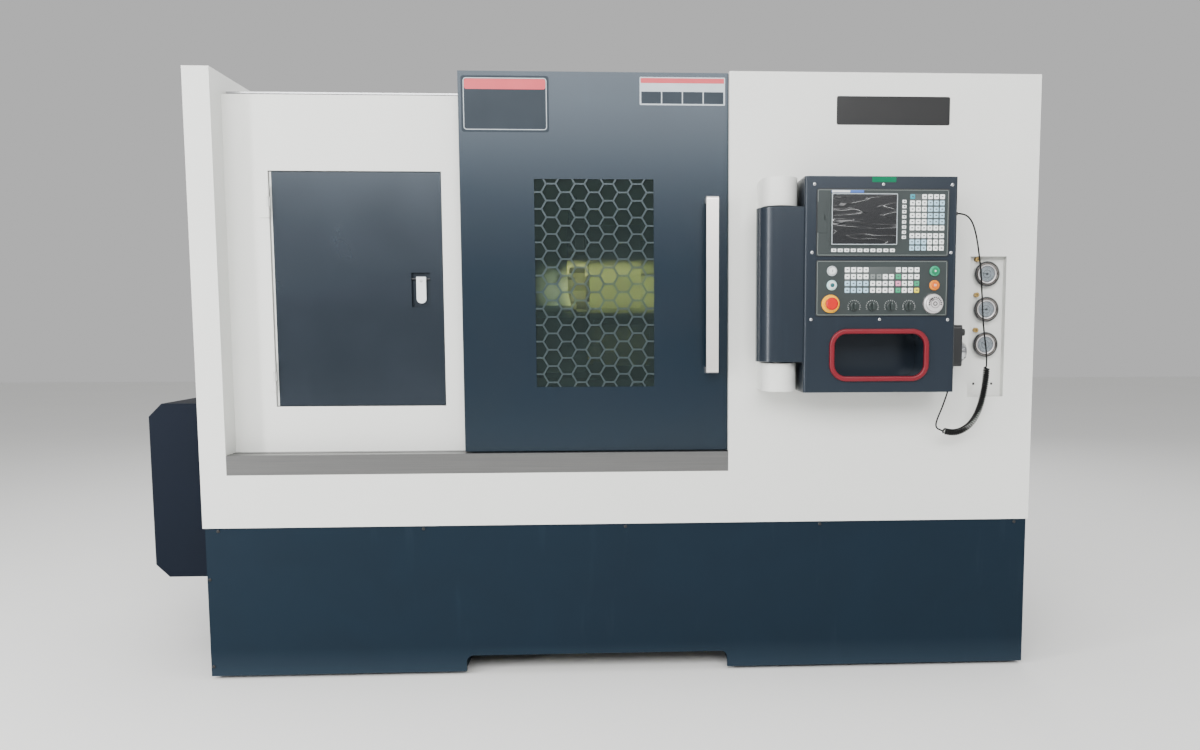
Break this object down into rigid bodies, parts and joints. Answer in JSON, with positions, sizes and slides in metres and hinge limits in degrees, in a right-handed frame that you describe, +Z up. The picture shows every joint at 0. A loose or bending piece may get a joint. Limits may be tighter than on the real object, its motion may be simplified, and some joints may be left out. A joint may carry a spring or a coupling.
{
  "type": "cnc turning lathe",
  "caption": "Slant-bed CNC turning lathe in a white and navy sheet enclosure with a honeycomb door window and a swivelling control console.",
  "frame": {"origin": "floor under the middle of the machine, without the cord", "axes": "+X to the operator's right along the spindle axis, +Y from the operator to the back, +Z up"},
  "size_m": [2.685, 1.5938, 1.769],
  "materials": {
    "base_navy": "satin",
    "cabinet_white": "satin",
    "door_navy": "satin",
    "stainless": "brushed",
    "steel": "ground",
    "cast_iron": "painted casting",
    "machined_iron": "machined",
    "glass": "clear",
    "chrome": "polished",
    "brass": "turned",
    "panel_grey": "matt",
    "panel_black": "gloss",
    "key_white": "matt",
    "red_plastic": "gloss",
    "green_plastic": "gloss",
    "orange_plastic": "gloss",
    "white_plastic": "gloss",
    "black_plastic": "matt",
    "rubber": "matt",
    "splash_paint": "satin"
  },
  "bodies": {
    "root": {"machine_base": "base_navy", "levelling_feet": "steel", "bed_casting": "cast_iron", "headstock": "cast_iron", "drive_belt": "rubber", "spindle_motor": "panel_black", "motor_cover": "door_navy", "left_end_cover": "cabinet_white", "lower_front_cover": "cabinet_white", "fixed_front_panel": "cabinet_white", "guide_strip": "stainless", "door_top_rail": "steel", "control_cabinet": "cabinet_white", "roof_cover": "cabinet_white", "rear_cover": "cabinet_white", "splash_guard": "splash_paint", "gauge_panel": "cabinet_white", "pressure_gauges": "chrome", "gauge_fittings": "brass", "console_brackets": "cabinet_white"},
    "spindle_unit": {"spindle": "steel", "spindle_pulley": "steel", "chuck_body": "steel"},
    "jaw_1": {"chuck_jaw_1": "steel"},
    "jaw_2": {"chuck_jaw_2": "steel"},
    "jaw_3": {"chuck_jaw_3": "steel"},
    "motor_rotor": {"motor_pulley": "steel"},
    "carriage": {"saddle": "machined_iron"},
    "cross_slide_unit": {"cross_slide": "machined_iron"},
    "turret": {"turret_disc": "steel"},
    "tailstock_unit": {"tailstock": "cast_iron"},
    "quill_unit": {"quill": "steel"},
    "main_door": {"door_panel": "door_navy", "door_window": "glass", "door_handle": "stainless"},
    "service_door": {"access_door": "door_navy"},
    "latch": {"access_latch": "white_plastic"},
    "console": {"console_housing": "door_navy", "pocket_ring": "red_plastic", "display_panel": "panel_grey", "screen": "panel_black", "panel_keys": "key_white", "operation_panel": "panel_grey", "button_bezels": "chrome", "pendant_body": "black_plastic", "cord_glands": "black_plastic", "cord_lead": "rubber", "curly_cord": "rubber", "cord_tail": "rubber"},
    "power_on": {"power_on_button": "white_plastic"},
    "power_off": {"power_off_button": "white_plastic"},
    "cycle_start": {"cycle_start_button": "green_plastic"},
    "feed_hold": {"feed_hold_button": "orange_plastic"},
    "emergency_stop": {"estop_button": "red_plastic"},
    "knob_1": {"override_knob_1": "black_plastic"},
    "knob_2": {"override_knob_2": "black_plastic"},
    "knob_3": {"override_knob_3": "black_plastic"},
    "knob_4": {"override_knob_4": "black_plastic"},
    "pulse_wheel": {"handwheel": "chrome"},
    "pendant_wheel": {"pendant_dial": "black_plastic"}
  },
  "joints": [
    {"name": "main_door_slide", "type": "slide", "parent": "root", "child": "main_door", "axis": [1, 0, 0], "range_m": [-0.62, 0]},
    {"name": "service_door_hinge", "type": "hinge", "parent": "root", "child": "service_door", "pos_m": [-0.9095, -0.53155, 1.15], "axis": [0, 0, -1], "range_deg": [0, 95]},
    {"name": "latch_turn", "type": "hinge", "parent": "service_door", "child": "latch", "pos_m": [-0.478, -0.51505, 1.182], "axis": [-1, 0, 0], "range_deg": [0, 35], "stiffness_Nm_per_rad": 1, "springref_deg": -34.38},
    {"name": "console_swivel", "type": "hinge", "parent": "root", "child": "console", "pos_m": [0.561, -0.69355, 1.155], "axis": [0, 0, -1], "range_deg": [0, 75]},
    {"name": "spindle_spin", "type": "hinge", "parent": "root", "child": "spindle_unit", "pos_m": [-0.5075, -0.17305, 1.05], "axis": [1, 0, 0], "continuous": true},
    {"name": "motor_spin", "type": "hinge", "parent": "root", "child": "motor_rotor", "pos_m": [-0.8175, -0.00305, 0.5845], "axis": [1, 0, 0], "continuous": true},
    {"name": "jaw_1_slide", "type": "slide", "parent": "spindle_unit", "child": "jaw_1", "axis": [0, 0, 1], "range_m": [0, 0.004]},
    {"name": "jaw_2_slide", "type": "slide", "parent": "spindle_unit", "child": "jaw_2", "axis": [0, -0.866, -0.5], "range_m": [0, 0.004]},
    {"name": "jaw_3_slide", "type": "slide", "parent": "spindle_unit", "child": "jaw_3", "axis": [0, 0.866, -0.5], "range_m": [0, 0.004]},
    {"name": "z_slide", "type": "slide", "parent": "root", "child": "carriage", "axis": [1, 0, 0], "range_m": [-0.09, 0.12]},
    {"name": "x_slide", "type": "slide", "parent": "carriage", "child": "cross_slide_unit", "axis": [0, -0.7071, -0.7071], "range_m": [-0.03, 0.114]},
    {"name": "turret_index", "type": "hinge", "parent": "cross_slide_unit", "child": "turret", "pos_m": [-0.0375, 0.0603, 1.28334], "axis": [1, 0, 0], "continuous": true},
    {"name": "tailstock_slide", "type": "slide", "parent": "root", "child": "tailstock_unit", "axis": [1, 0, 0], "range_m": [-0.2, 0]},
    {"name": "quill_slide", "type": "slide", "parent": "tailstock_unit", "child": "quill_unit", "axis": [-1, 0, 0], "range_m": [0, 0.1]},
    {"name": "power_on_press", "type": "slide", "parent": "console", "child": "power_on", "axis": [0, 1, 0], "range_m": [0, 0.0025], "stiffness_N_per_m": 400},
    {"name": "power_off_press", "type": "slide", "parent": "console", "child": "power_off", "axis": [0, 1, 0], "range_m": [0, 0.0025], "stiffness_N_per_m": 400},
    {"name": "cycle_start_press", "type": "slide", "parent": "console", "child": "cycle_start", "axis": [0, 1, 0], "range_m": [0, 0.0025], "stiffness_N_per_m": 400},
    {"name": "feed_hold_press", "type": "slide", "parent": "console", "child": "feed_hold", "axis": [0, 1, 0], "range_m": [0, 0.0025], "stiffness_N_per_m": 400},
    {"name": "emergency_stop_press", "type": "slide", "parent": "console", "child": "emergency_stop", "axis": [0, 1, 0], "range_m": [0, 0.004]},
    {"name": "knob_1_turn", "type": "hinge", "parent": "console", "child": "knob_1", "pos_m": [0.7589, -0.77155, 1.0946], "axis": [0, -1, 0], "range_deg": [-135, 135]},
    {"name": "knob_2_turn", "type": "hinge", "parent": "console", "child": "knob_2", "pos_m": [0.81, -0.77155, 1.0946], "axis": [0, -1, 0], "range_deg": [-135, 135]},
    {"name": "knob_3_turn", "type": "hinge", "parent": "console", "child": "knob_3", "pos_m": [0.8611, -0.77155, 1.0946], "axis": [0, -1, 0], "range_deg": [-135, 135]},
    {"name": "knob_4_turn", "type": "hinge", "parent": "console", "child": "knob_4", "pos_m": [0.9122, -0.77155, 1.0946], "axis": [0, -1, 0], "range_deg": [-135, 135]},
    {"name": "pulse_wheel_turn", "type": "hinge", "parent": "console", "child": "pulse_wheel", "pos_m": [0.9795, -0.77155, 1.102], "axis": [0, -1, 0], "continuous": true},
    {"name": "pendant_wheel_turn", "type": "hinge", "parent": "console", "child": "pendant_wheel", "pos_m": [1.0815, -0.68805, 0.966], "axis": [1, 0, 0], "continuous": true}
  ],
  "couplings": [
    {"joint": "motor_spin", "follows": "spindle_spin", "ratio": 1.25},
    {"joint": "jaw_2_slide", "follows": "jaw_1_slide", "ratio": 1},
    {"joint": "jaw_3_slide", "follows": "jaw_1_slide", "ratio": 1}
  ]
}
